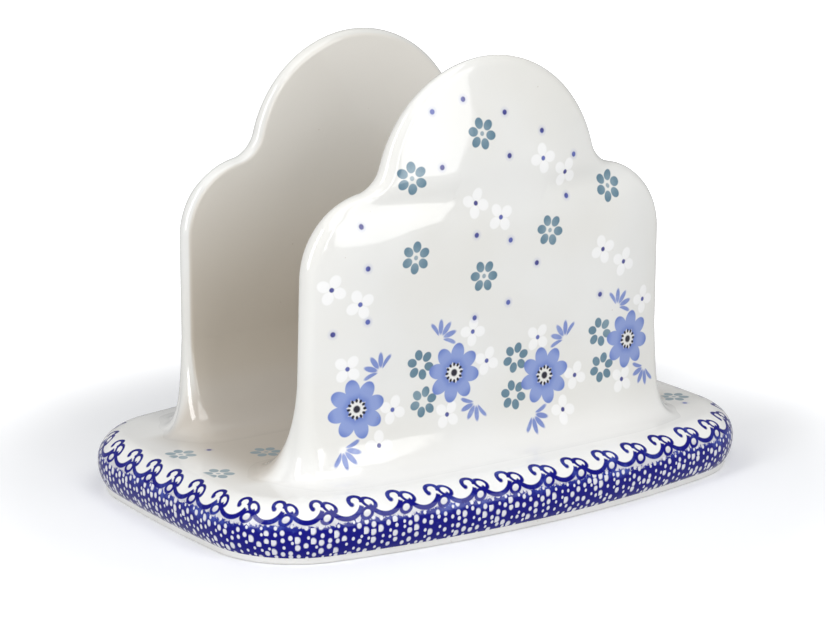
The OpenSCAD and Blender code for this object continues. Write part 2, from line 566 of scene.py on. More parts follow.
class WallRoom(Effect):
    """Tells whether a motif's middle lies well inside a wall's outline."""

    title = "room on the wall"
    takes = {name: Kind.NUMBER for name in ("Across", "Up", "Margin")}
    gives = {"Inside": Kind.NUMBER}
    dome: Point = (83.5, 34.0)
    shoulder: Point = (35.8, 66.0)
    shoulder_r: float = 20.5

    def wire(self, tree: bpy.types.NodeTree, given: dict[str, Num]) -> dict[str, object]:
        """Joins the dome to the shoulders and the part between and below them.

        Args:
            tree: The group's tree.
            given: The inputs by name.

        Returns:
            The outputs by name.
        """
        across, up, margin = given["Across"].math("ABSOLUTE"), given["Up"], given["Margin"]
        dome_z, dome_r = self.dome
        dome = (across.hypot(up - dome_z) + margin).math("LESS_THAN", dome_r)
        out_x, out_z = ((way - start).math("MAXIMUM", 0.0) for way, start in zip((across, up), self.shoulder))
        shoulders = (out_x.hypot(out_z) + margin).math("LESS_THAN", self.shoulder_r)
        return {"Inside": dome.math("MAXIMUM", shoulders)}


class FlowerBand(Effect):
    """A band of large daisies with small flowers and sprigs round each, along the lower part of a wall."""

    title = "daisy band"
    takes = {name: Kind.NUMBER for name in ("Across", "Up")}
    gives = {name: Kind.NUMBER for name in ("Daisy", "Along", "Heart", "Sprig", "Slate", "White", "Eye", "Room")}
    pitch: float = 29.0
    level: float = 35.5
    swing: float = 2.6

    def wire(self, tree: bpy.types.NodeTree, given: dict[str, Num]) -> dict[str, object]:
        """Finds the cell along the wall and stamps the group of motifs in it.

        Args:
            tree: The group's tree.
            given: The inputs by name.

        Returns:
            The outputs by name.
        """
        cell = (given["Across"] / self.pitch).math("FLOOR")
        across = given["Across"] - (cell + 0.5) * self.pitch
        sway = cell.math("FLOORED_MODULO", 2.0) * 2.0 - 1.0
        up = given["Up"] - self.level - sway * self.swing
        daisy = Petals().place(tree, Across=across, Up=up, Count=8.0, Reach=5.0, Length=2.8, Width=2.02,
                               Turn=sway * 0.2, Soft=0.07)
        seeds = Petals().place(tree, Across=across, Up=up, Count=12.0, Reach=2.2, Length=0.5, Width=0.36,
                               Turn=0.0, Soft=0.35)
        core = Spot().place(tree, Across=across, Up=up, Radius=0.95)
        inner = daisy["Radius"].ramp(2.9, 2.5)
        sprigs, slates, whites, eyes = [], [], [], []
        for step_x, step_y, turn in ((6.8, -8.8, 2.2), (-4.4, 9.6, -0.9)):
            at_x, at_y = across - step_x, up - sway * step_y
            fan = Petals().place(tree, Across=at_x, Up=at_y, Count=10.0, Reach=3.0, Length=1.95, Width=0.72,
                                 Turn=sway * turn, Soft=0.22)
            facing = fan["Bearing"].wrap(math.pi).math("ABSOLUTE").ramp(1.42, 1.30)
            sprigs.append(fan["Ink"] * facing)
        for step_x, step_y, turn in ((-10.3, 3.6, 0.3), (-9.5, -6.2, 0.8)):
            flower = Petals().place(tree, Across=across - step_x, Up=up - sway * step_y, Count=6.0, Reach=2.65,
                                    Length=1.4, Width=1.15, Turn=turn, Soft=0.12)
            slates.append(flower["Ink"])
        for step_x, step_y, turn, last in ((10.2, 1.6, 0.4, 0.5), (5.6, 10.0, 0.1, 9.0), (-2.4, -10.6, 0.7, 9.0)):
            at_x, at_y = across - step_x, up - sway * step_y
            kept = cell.math("LESS_THAN", last)
            blossom = Petals().place(tree, Across=at_x, Up=at_y, Count=4.0, Reach=2.2, Length=1.65, Width=1.4,
                                     Turn=turn, Soft=0.16)
            whites.append(blossom["Ink"] * kept)
            eyes.append(Spot().place(tree, Across=at_x, Up=at_y, Radius=0.6)["Ink"] * kept)
        room = (given["Up"] - self.level).math("ABSOLUTE").ramp(18.2, 17.4)
        return {
            "Daisy": daisy["Ink"],
            "Along": daisy["Along"],
            "Heart": (seeds["Ink"] + core["Ink"]).math("MINIMUM", 1.0) * inner.math("MAXIMUM", 0.0),
            "Sprig": most(sprigs),
            "Slate": most(slates) * cell.math("GREATER_THAN", -1.5),
            "White": most(whites),
            "Eye": most(eyes),
            "Room": room,
        }


class ScrollEdging(Effect):
    """A running scroll with leaf loops, drawn along a rim."""

    title = "running scroll"
    takes = {name: Kind.NUMBER for name in ("Along", "Above", "Pitch")}
    gives = {"Line": Kind.NUMBER, "Wash": Kind.NUMBER}

    def wire(self, tree: bpy.types.NodeTree, given: dict[str, Num]) -> dict[str, object]:
        """Draws a curl, the swag to the next one and two leaf loops in each pitch.

        Args:
            tree: The group's tree.
            given: The inputs by name.

        Returns:
            The outputs by name.
        """
        half = given["Pitch"] * 0.5
        above = given["Above"]

        def beside(centre: float) -> Num:
            """Says how far a place lies beside a centre of the repeat."""
            return (given["Along"] - centre).wrap(half)

        def stroke(away: Num, wide: float) -> Num:
            """Draws a line of some half width where a distance is 0."""
            return away.math("ABSOLUTE").ramp(wide + 0.1, wide - 0.12)

        curl_x, curl_y = beside(1.15), above - 4.0
        curl_r = curl_x.hypot(curl_y)
        gap = (curl_x * -0.1 - curl_y * 0.995) / curl_r
        curl = stroke(curl_r - 1.3, 0.47) * gap.ramp(0.62, 0.5)
        knob = beside(2.15).hypot(above - 3.25).ramp(0.72, 0.36)
        swag_x, swag_y = beside(3.55), above - 4.3
        swag_r = swag_x.hypot(swag_y)
        swag = stroke(swag_r - 3.75, 0.5) * (swag_y / swag_r).ramp(-0.36, -0.46)
        line = curl.math("MAXIMUM", knob).math("MAXIMUM", swag)
        for centre, rise, turn, long, short in ((-1.6, 3.3, 0.7, 1.45, 0.95), (-0.6, 1.2, -0.5, 1.25, 0.9)):
            step_x, step_y = beside(centre), above - rise
            cos, sin = math.cos(turn), math.sin(turn)
            oval = ((step_x * cos + step_y * sin) / long).hypot((step_y * cos - step_x * sin) / short)
            line = line.math("MAXIMUM", stroke((oval - 1.0) * short, 0.31))
        fill = (swag_r - 3.7).ramp(0.1, 0.6) * above.ramp(2.2, 0.6)
        return {"Line": line, "Wash": fill}


class ReserveBand(Effect):
    """A band of pigment with close pale dots left open in it."""

    title = "dotted band"
    takes = {name: Kind.NUMBER for name in ("Along", "Above", "Pitch", "Columns")}
    gives = {"Ink": Kind.NUMBER, "Open": Kind.NUMBER}

    def wire(self, tree: bpy.types.NodeTree, given: dict[str, Num]) -> dict[str, object]:
        """Lays the band's uneven upper edge and its rows of dots.

        Args:
            tree: The group's tree.
            given: The inputs by name.

        Returns:
            The outputs by name.
        """
        cell = Lattice().place(tree, Across=given["Along"], Up=given["Above"], Pitch=given["Pitch"], Rise=2.05,
                               Drop=0.5, Jitter=1.0, Seed=3.0, Columns=given["Columns"])
        size = cell["Pick"].math("POWER", 2.0) * 0.5 + 0.34
        away = (cell["Across"] / size).hypot(cell["Up"] / (size * 1.2))
        rough = noise(tree, join_xyz(tree, given["Along"], given["Above"], 0.0), 1.1, 2.0)
        broad = noise(tree, join_xyz(tree, given["Along"], 0.0, 0.0), 0.05, 0.0)
        edge = (rough - 0.5) * 3.0 + (broad - 0.5) * 4.0 + 2.7
        ink = (given["Above"] - edge).ramp(0.35, -0.35) * given["Above"].ramp(-6.35, -6.15)
        return {"Ink": ink, "Open": away.ramp(1.3, 0.7)}


# Finishes


def trough_shade(x: Num, y: Num) -> Num:
    """Says how much painted shade a place gets in the sheltered trough between the walls, from 0 to 1.

    Args:
        x: Place along the holder, in millimetres.
        y: Place across it.

    Returns:
        The share.
    """
    return y.math("ABSOLUTE").ramp(*TROUGH_SIDE) * x.math("ABSOLUTE").ramp(*TROUGH_END)


def open_top(x: Num, y: Num, margin: float) -> Num:
    """Says whether a motif's middle lies on the open flat top, clear of the flares and the rim.

    Args:
        x: The middle's place along the holder, in millimetres.
        y: Its place across it.
        margin: The room it needs.

    Returns:
        1 if it does, or else 0.
    """
    x, y = x.math("ABSOLUTE"), y.math("ABSOLUTE")
    out_x, out_y = ((way - start).math("MAXIMUM", 0.0) for way, start in zip((x, y), TOP_CORNER))
    rim = (out_x.hypot(out_y) + margin).math("LESS_THAN", TOP_CORNER_R)
    clear = most((x.math("GREATER_THAN", FLARE_END + margin), y.math("LESS_THAN", FLARE_INSIDE - margin),
                  y.math("GREATER_THAN", FLARE_OUTSIDE + margin)))
    return rim * clear


@dataclass(frozen=True)
class Pigments:
    """The fired colours of the set, and the painted shade laid on the walls' inner faces and in the trough."""

    ground: Colour = srgb(231, 231, 228)
    thin_ground: Colour = srgb(228, 227, 222)
    # Painted shade for the walls' inner faces, warmer and darker towards the bottom.
    inner_shade_high: Colour = srgb(231, 228, 221)
    inner_shade_low: Colour = srgb(204, 196, 183)
    # Painted shade laid over the trough between the walls.
    trough_shade: Colour = srgb(200, 193, 183)
    white: Colour = srgb(250, 250, 250)
    cobalt: Colour = srgb(3, 3, 122)
    faint_cobalt: Colour = srgb(84, 104, 190)
    periwinkle: Colour = srgb(100, 124, 194)
    pale_periwinkle: Colour = srgb(138, 156, 208)
    slate: Colour = srgb(96, 128, 146)
    pale_slate: Colour = srgb(134, 158, 170)
    near_black: Colour = srgb(28, 28, 46)
    fleck: Colour = srgb(150, 128, 100)
    bare_clay: Colour = srgb(236, 235, 232)


@dataclass(frozen=True)
class Glaze:
    """A clear glaze over the pale body, with whatever is painted under it.

    A plain glaze has no decoration. The subclasses lay theirs over the ground.
    """

    name: str = "clear_glaze"
    roughness: float = 0.07
    ripple: float = 0.35
    shine: float = 0.5
    coat: float = 0.35
    pigments: Pigments = field(default_factory=Pigments)

    def decorate(self, tree: bpy.types.NodeTree, place: bpy.types.NodeSocket,
                 ground: bpy.types.NodeSocket) -> bpy.types.NodeSocket:
        """Paints over the ground. A plain glaze leaves it bare."""
        return ground

    def material(self) -> bpy.types.Material:
        """Builds the material.

        Returns:
            The finished material.
        """
        made, tree, shader = new_material(self.name)
        where = tree.nodes.new("ShaderNodeTexCoord")
        grow = tree.nodes.new("ShaderNodeVectorMath")
        grow.operation = "SCALE"
        feed(tree, grow.inputs[0], where.outputs["Object"])
        grow.inputs["Scale"].default_value = 1 / MM
        place = grow.outputs[0]
        skin = GlazeSkin().place(tree, Place=place)
        ground = blend_colour(tree, skin["Tone"].ramp(0.35, 0.7), self.pigments.ground, self.pigments.thin_ground)
        painted = self.decorate(tree, place, ground)
        flecked = blend_colour(tree, skin["Fleck"] * 0.35, painted, self.pigments.fleck)
        feed(tree, shader.inputs["Base Color"], flecked)
        shader.inputs["Roughness"].default_value = self.roughness
        shader.inputs["IOR"].default_value = 1.52
        shader.inputs["Specular IOR Level"].default_value = self.shine
        shader.inputs["Coat Weight"].default_value = self.coat
        shader.inputs["Coat Roughness"].default_value = 0.03
        roughen(tree, shader, skin["Height"], self.ripple, MM)
        return made


@dataclass(frozen=True)
class WallGlaze(Glaze):
    """The walls' glaze: flowers and dots on the outer faces, and painted shade on the inner faces."""

    name: str = "wall_glaze"

    def decorate(self, tree: bpy.types.NodeTree, place: bpy.types.NodeSocket,
                 ground: bpy.types.NodeSocket) -> bpy.types.NodeSocket:
        """Strews flowers over the outer faces and runs the daisy band along their lower part. Paints shade on the
        inner faces and in the trough, and paints light on the walls' lowest part and the flares.

        Args:
            tree: The material's tree.
            place: Object coordinates in millimetres.
            ground: The bare glaze's colour.

        Returns:
            The painted colour.
        """
        inks = self.pigments
        x, y, z = split_xyz(tree, place)
        facing = split_xyz(tree, tree.nodes.new("ShaderNodeTexCoord").outputs["Normal"])[1]
        outside = (facing * y.math("SIGN")).ramp(0.3, 0.62)
        # Painted shade on the inner faces: warmer and darker towards the bottom.
        inside = (facing * y.math("SIGN")).ramp(-0.8, -0.97)
        ground = blend_colour(tree, inside, ground, blend_colour(tree, z.ramp(100.0, 40.0), inks.inner_shade_high,
                                                                 inks.inner_shade_low))
        # Painted light: the walls' lowest part and the flares are lightened towards the base.
        ground = blend_colour(tree, z.ramp(27.0, 15.8) * 0.4, ground, inks.white)
        # Painted shade in the trough, on the walls' lower parts.
        ground = blend_colour(tree, trough_shade(x, y) * z.ramp(40.0, 20.0), ground, inks.trough_shade)
        along = x * y.math("SIGN") * -1.0
        wash = CobaltWash().place(tree, Place=place)
        band = FlowerBand().place(tree, Across=along, Up=z)
        strewn = FlowerField().place(tree, Across=along + 5.0, Up=z - 4.0, Pitch=21.0, Rise=19.0, Seed=11.0,
                                     Lowest=46.0, **{"Slate share": 0.42, "White share": 0.93})
        low_room = z.ramp(15.8, 18.5)
        flowers, dots = (
            outside * WallRoom().place(tree, Across=strewn[f"{motif} across"] - 5.0, Up=strewn[f"{motif} up"] + 4.0,
                                       Margin=margin)["Inside"]
            for motif, margin in (("Flower", 6.0), ("Dot", 3.0)))
        under = outside * band["Room"] * low_room
        white = (strewn["White"] * flowers).math("MAXIMUM", band["White"] * under)
        colour = blend_colour(tree, white * 0.66, ground, inks.white)
        sprig_colour = blend_colour(tree, wash["Strength"], inks.pale_periwinkle, inks.periwinkle)
        colour = blend_colour(tree, band["Sprig"] * under * 0.9, colour, sprig_colour)
        slate_along = strewn["Along"].ramp(-1.2, 0.9)
        slate_colour = blend_colour(tree, slate_along * 0.6 + wash["Strength"] * 0.4, inks.pale_slate, inks.slate)
        slate = (strewn["Slate"] * flowers).math("MAXIMUM", band["Slate"] * under)
        colour = blend_colour(tree, slate, colour, slate_colour)
        petal_colour = blend_colour(tree, band["Along"].math("ABSOLUTE").ramp(0.2, 1.1), inks.pale_periwinkle,
                                    inks.periwinkle)
        colour = blend_colour(tree, band["Daisy"] * under, colour, petal_colour)
        colour = blend_colour(tree, strewn["Halo"] * dots * 0.2, colour, inks.faint_cobalt)
        spots = most((strewn["Dots"] * dots, strewn["Eye"] * flowers, band["Eye"] * under))
        dot_colour = blend_colour(tree, wash["Pool"] * 0.6 + 0.4, inks.faint_cobalt, inks.cobalt)
        colour = blend_colour(tree, spots * 0.92, colour, dot_colour)
        return blend_colour(tree, band["Heart"] * under, colour, inks.near_black)


@dataclass(frozen=True)
class BaseGlaze(Glaze):
    """The base's glaze: a dotted cobalt band and running scroll on the rim, sparse flowers on the top, and painted
    shade in the trough between the walls.
    """

    name: str = "base_glaze"
    shine: float = 0.3
    coat: float = 0.0
    perimeter: float = 520.0
    scrolls: int = 46
    dot_columns: int = 250

    def decorate(self, tree: bpy.types.NodeTree, place: bpy.types.NodeSocket,
                 ground: bpy.types.NodeSocket) -> bpy.types.NodeSocket:
        """Paints the top, then the rim by its own map.

        Args:
            tree: The material's tree.
            place: Object coordinates in millimetres.
            ground: The bare glaze's colour.

        Returns:
            The painted colour.
        """
        inks = self.pigments
        x, y, z = split_xyz(tree, place)
        rim_map = tree.nodes.new("ShaderNodeUVMap")
        rim_map.uv_map = RIM_MAP
        rim_u, rim_v, _ = split_xyz(tree, rim_map.outputs[0])
        along, above = rim_u / MM, rim_v / MM
        on_top = above.ramp(12.5, 13.5) * z.ramp(14.9, 15.2)
        # Painted shade over the trough between the walls, on the base's top.
        ground = blend_colour(tree, trough_shade(x, y), blend_colour(tree, 0.4, ground, inks.white), inks.trough_shade)
        wash = CobaltWash().place(tree, Place=place)
        strewn = FlowerField().place(tree, Across=x + 10.0, Up=y + 3.0, Pitch=20.0, Rise=22.0, Seed=5.0,
                                     Lowest=-200.0, **{"Slate share": 0.7, "White share": 0.7})
        flowers, dots = (on_top * open_top(strewn[f"{motif} across"] - 10.0, strewn[f"{motif} up"] - 3.0, margin)
                         for motif, margin in (("Flower", 4.2), ("Dot", 1.0)))
        colour = blend_colour(tree, strewn["Slate"] * flowers * 0.85, ground, inks.pale_slate)
        colour = blend_colour(tree, strewn["Halo"] * dots * 0.15, colour, inks.faint_cobalt)
        dot_colour = blend_colour(tree, wash["Pool"], inks.faint_cobalt, inks.cobalt)
        colour = blend_colour(tree, strewn["Dots"] * dots * 0.85, colour, dot_colour)
        edging = ScrollEdging().place(tree, Along=along * 0.8, Above=(above - 2.6) * 0.76,
                                      Pitch=self.perimeter * 0.8 / self.scrolls)
        band = ReserveBand().place(tree, Along=along, Above=above, Pitch=self.perimeter / self.dot_columns,
                                   Columns=float(self.dot_columns))
        low = above.ramp(3.0, -2.0)
        ink = blend_colour(tree, wash["Strength"] * 0.5 + 0.5, inks.faint_cobalt, inks.cobalt)
        deep = blend_colour(tree, (wash["Strength"] * 0.6 + low * 0.7 + 0.2).math("MINIMUM", 1.0), inks.faint_cobalt,
                            inks.cobalt)
        deep = blend_colour(tree, band["Open"] * 0.8, deep, inks.white)
        colour = blend_colour(tree, edging["Wash"] * 0.25, colour, ink)
        colour = blend_colour(tree, band["Ink"], colour, deep)
        return blend_colour(tree, edging["Line"], colour, ink)


@dataclass(frozen=True)
class BareClay:
    """The wiped, unglazed foot."""

    name: str = "bare_foot"
    pigments: Pigments = field(default_factory=Pigments)

    def material(self) -> bpy.types.Material:
        """Builds the matte, fine-grained material.

        Returns:
            The finished material.
        """
        made, tree, shader = new_material(self.name)
        where = tree.nodes.new("ShaderNodeTexCoord")
        grain = noise(tree, where.outputs["Object"], 900.0, 3.0, 0.6)
        stain = noise(tree, where.outputs["Object"], 60.0, 2.0)
        tone = blend_colour(tree, stain.ramp(0.35, 0.75) * 0.6, self.pigments.bare_clay, self.pigments.thin_ground)
        feed(tree, shader.inputs["Base Color"], blend_colour(tree, grain.ramp(0.62, 0.8) * 0.3, tone,
                                                             self.pigments.fleck))
        feed(tree, shader.inputs["Roughness"], grain * 0.25 + 0.55)
        roughen(tree, shader, grain, 0.4, 0.1 * MM)
        return made


# Shapes


def crossing(first: Point, first_radius: float, second: Point, second_radius: float, side: float) -> Point:
    """Finds where two circles cross.

    Args:
        first: Centre of the first circle.
        first_radius: Its radius.
        second: Centre of the second circle.
        second_radius: Its radius.
        side: 1 for the crossing left of the way from first to second, -1 for the other.

    Returns:
        The crossing.
    """
    span = Vector(second) - Vector(first)
    along = (span.length_squared + first_radius**2 - second_radius**2) / (2 * span.length)
    off = math.sqrt(first_radius**2 - along**2)
    unit = span.normalized()
    found = Vector(first) + unit * along + Vector((-unit.y, unit.x)) * off * side
    return (found.x, found.y)


def finished(bm: bmesh.types.BMesh, name: str, materials: Sequence[bpy.types.Material],
             sharp: float = 42.0) -> bpy.types.Object:
    """Closes a mesh up and makes it an object.

    Args:
        bm: The mesh, which is freed.
        name: The piece's name.
        materials: Its materials.
        sharp: Angle past which an edge stays crisp, in degrees.

    Returns:
        The new object, linked to the scene.
    """
    for face in bm.faces:
        face.smooth = True
    for edge in bm.edges:
        if edge.is_manifold and edge.calc_face_angle() > math.radians(sharp):
            edge.smooth = False
    mesh = bpy.data.meshes.new(name)
    bm.to_mesh(mesh)
    bm.free()
    for material in materials:
        mesh.materials.append(material)
    piece = bpy.data.objects.new(name, mesh)
    bpy.context.scene.collection.objects.link(piece)
    return piece


def chain(bm: bmesh.types.BMesh, points: Iterable[Vector], closed: bool = False) -> list[bmesh.types.BMEdge]:
    """Adds a line of points to a mesh.

    Args:
        bm: The mesh.
        points: The points in order.
        closed: Whether the last point joins the first.

    Returns:
        The new edges.
    """
    verts = [bm.verts.new(point) for point in points]
    pairs = list(zip(verts, verts[1:]))
    if closed:
        pairs.append((verts[-1], verts[0]))
    return [bm.edges.new(pair) for pair in pairs]


def spin_on(bm: bmesh.types.BMesh, geom: list, centre: Vector, axis: Vector, angle: float, steps: int) -> list:
    """Spins a line about an axis.

    Args:
        bm: The mesh.
        geom: The line's points and edges.
        centre: A point of the axis.
        axis: Its direction.
        angle: How far to spin, in radians.
        steps: Number of steps.

    Returns:
        The line where it ends.
    """
    made = bmesh.ops.spin(bm, geom=geom, cent=centre, axis=axis, dvec=(0, 0, 0), angle=angle, steps=steps,
                          use_merge=False, use_normal_flip=False, use_duplicate=False)
    return made["geom_last"]


def close_up(bm: bmesh.types.BMesh) -> None:
    """Merges doubled points and turns every face outwards."""
    bmesh.ops.remove_doubles(bm, verts=bm.verts, dist=MERGE)
    bmesh.ops.recalc_face_normals(bm, faces=bm.faces)


@dataclass
class RimPlan:
    """The base's plan outline, four bowed sides joined by round corners, and sections carried round it."""

    length: float = 165 * MM
    width: float = 114 * MM
    corner_r: float = 27 * MM
    long_bow: float = 5.3 * MM
    short_bow: float = 1 * MM

    def __post_init__(self) -> None:
        """Works out the arcs."""
        half_l, half_w = self.length / 2, self.width / 2
        self.long_r = ((half_l - self.corner_r) ** 2 + self.long_bow**2) / (2 * self.long_bow)
        self.short_r = ((half_w - self.corner_r) ** 2 + self.short_bow**2) / (2 * self.short_bow)
        self.long_c: Point = (0.0, half_w - self.long_r)
        self.short_c: Point = (half_l - self.short_r, 0.0)
        self.corner_c = crossing(self.short_c, self.short_r - self.corner_r, self.long_c,
                                 self.long_r - self.corner_r, 1.0)
        if self.corner_c[0] < 0 or self.corner_c[1] < 0:
            self.corner_c = crossing(self.short_c, self.short_r - self.corner_r, self.long_c,
                                     self.long_r - self.corner_r, -1.0)
        self.long_turn = math.atan2(self.corner_c[0], self.corner_c[1] - self.long_c[1])
        self.short_turn = math.atan2(self.corner_c[1], self.corner_c[0] - self.short_c[0])
        self.corner_turn = math.pi / 2 - self.long_turn - self.short_turn
        self.quarter = self.long_r * self.long_turn + self.corner_r * self.corner_turn + self.short_r * self.short_turn

    def sweep(self, bm: bmesh.types.BMesh, section: Sequence[Point], closed: bool) -> None:
        """Carries a section of (inset, height) all round the plan.

        Args:
            bm: The mesh to add to.
            section: The section's points.
            closed: Whether the section is a closed loop.
        """
        half_w = self.width / 2
        edges = chain(bm, (Vector((0, half_w - inset, z)) for inset, z in section), closed)
        geom: list = list(edges) + list({v for e in edges for v in e.verts})
        down = Vector((0, 0, -1))
        corner, long_c, short_c = self.corner_c, self.long_c, self.short_c
        turns = [
            (long_c, self.long_turn, 20),
            (corner, self.corner_turn, 26),
            (short_c, 2 * self.short_turn, 24),
            ((corner[0], -corner[1]), self.corner_turn, 26),
            ((0.0, -long_c[1]), 2 * self.long_turn, 40),
            ((-corner[0], -corner[1]), self.corner_turn, 26),
            ((-short_c[0], 0.0), 2 * self.short_turn, 24),
            ((-corner[0], corner[1]), self.corner_turn, 26),
            (long_c, self.long_turn, 20),
        ]
        for (x, y), turn, steps in turns:
            geom = spin_on(bm, geom, Vector((x, y, 0)), down, turn, steps)

    def unroll(self, point: Vector, middle: Vector) -> tuple[float, float]:
        """Says how far round the plan a point is, and how far in from the outline.

        Args:
            point: A point of the base.
            middle: The middle of its face, which settles the quarter at a seam.

        Returns:
            The distance along the outline and the inset.
        """
        x, y = abs(point.x), abs(point.y)
        from_long = math.atan2(x, y - self.long_c[1])
        from_corner = math.atan2(x - self.corner_c[0], y - self.corner_c[1])
        if from_long <= self.long_turn:
            along = self.long_r * from_long
            inset = self.long_r - math.hypot(x - self.long_c[0], y - self.long_c[1])
        elif from_corner <= math.pi / 2 - self.short_turn and x > self.corner_c[0] - MM:
            along = self.long_r * self.long_turn + self.corner_r * (from_corner - self.long_turn)
            inset = self.corner_r - math.hypot(x - self.corner_c[0], y - self.corner_c[1])
        else:
            along = self.quarter - self.short_r * math.atan2(y, x - self.short_c[0])
            inset = self.short_r - math.hypot(x - self.short_c[0], y)
        if middle.x >= 0:
            return (along if middle.y >= 0 else 2 * self.quarter - along), inset
        return (2 * self.quarter + along if middle.y < 0 else 4 * self.quarter - along), inset


@dataclass
class BaseTray:
    """The glazed tray base and the bare ring that it stands on."""

    plan: RimPlan = field(default_factory=RimPlan)
    height: float = 15.5 * MM
    rim_round: float = 7.5 * MM
    foot_h: float = 1.8 * MM
    foot_w: float = 7 * MM
    side_tuck: float = 2 * MM
    tuck_turn: float = math.radians(60)
    recess_h: float = 7.5 * MM
    recess_round: float = 3.5 * MM

    def section(self) -> list[Point]:
        """Works out the base's section from its top, over the rim and down, to the hollow's ceiling.

        Returns:
            The section as (inset, height).
        """
        belly = self.height - self.rim_round
        reach = self.side_tuck / (1 - math.cos(self.tuck_turn))
        drop = (belly - self.foot_h) / math.sin(self.tuck_turn)
        inner = self.side_tuck + self.foot_w
        points: list[Point] = [(self.rim_round + extra * MM, self.height) for extra in (9, 6, 3, 1.2)]
        for step in range(21):
            angle = math.radians(90 - 4.5 * step)
            points.append((self.rim_round * (1 - math.cos(angle)), belly + self.rim_round * math.sin(angle)))
        for step in range(1, 11):
            angle = self.tuck_turn * step / 10
            points.append((reach * (1 - math.cos(angle)), belly - drop * math.sin(angle)))
        points.append((inner, self.foot_h))
        for step in range(7):
            angle = math.radians(15 * step)
            points.append((inner + self.recess_round * (1 - math.cos(angle)),
                           self.recess_h - self.recess_round * (1 - math.sin(angle))))
        return points

    def foot_section(self) -> list[Point]:
        """Works out the foot ring's closed section, its edges softened by wiping.

        Returns:
            The section as (inset, height).
        """
        outer, inner, soft = self.side_tuck, self.side_tuck + self.foot_w, 0.7 * MM
        points: list[Point] = [(outer, self.foot_h)]
        for step in range(7):
            angle = math.radians(15 * step)
            points.append((outer + soft * (1 - math.cos(angle)), soft * (1 - math.sin(angle))))
        for step in range(7):
            angle = math.radians(90 - 15 * step)
            points.append((inner - soft * (1 - math.cos(angle)), soft * (1 - math.sin(angle))))
        points.append((inner, self.foot_h))
        return points

    def map_rim(self, bm: bmesh.types.BMesh) -> None:
        """Writes the rim's own map: distance round the plan, and height along the section from the belly line.

        Args:
            bm: The finished base mesh.
        """
        layer = bm.loops.layers.uv.new(RIM_MAP)
        belly = self.height - self.rim_round
        for face in bm.faces:
            middle = face.calc_center_median()
            whole = len(face.verts) > 4
            for loop in face.loops:
                along, inset = self.plan.unroll(loop.vert.co, middle)
                z = loop.vert.co.z
                if whole:
                    above = 30 * MM
                elif inset > self.rim_round - 1e-6:
                    above = self.rim_round * math.pi / 2 + inset - self.rim_round
                elif z >= belly:
                    above = self.rim_round * math.atan2(z - belly, self.rim_round - inset)
                else:
                    above = z - belly
                if z < self.height - 0.1 * MM and inset > self.side_tuck + 0.5 * MM and z < belly:
                    above = -20 * MM
                loop[layer].uv = (along, above)

    def build_tray(self, material: bpy.types.Material) -> bpy.types.Object:
        """Builds the glazed base in place of the CAD's.

        Args:
            material: The base glaze.

        Returns:
            The piece.
        """
        bm = bmesh.new()
        self.plan.sweep(bm, self.section(), closed=False)
        bmesh.ops.remove_doubles(bm, verts=bm.verts, dist=MERGE)
        for level in (self.height, self.recess_h):
            rim = [e for e in bm.edges if e.is_boundary and all(abs(v.co.z - level) < MERGE for v in e.verts)]
            bmesh.ops.edgeloop_fill(bm, edges=rim)
        close_up(bm)
        self.map_rim(bm)
        piece = finished(bm, "base_tray_glazed", [material])
        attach(piece, "root")
        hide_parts("base_tray")
        return piece

    def build_foot(self, material: bpy.types.Material) -> bpy.types.Object:
        """Builds the foot ring with its wiped edges.

        Args:
            material: The bare clay.

        Returns:
            The piece.
        """
        bm = bmesh.new()
        self.plan.sweep(bm, self.foot_section(), closed=True)
        close_up(bm)
        piece = finished(bm, "foot_ring_bare", [material])
        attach(piece, "root")
        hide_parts("foot_ring")
        return piece


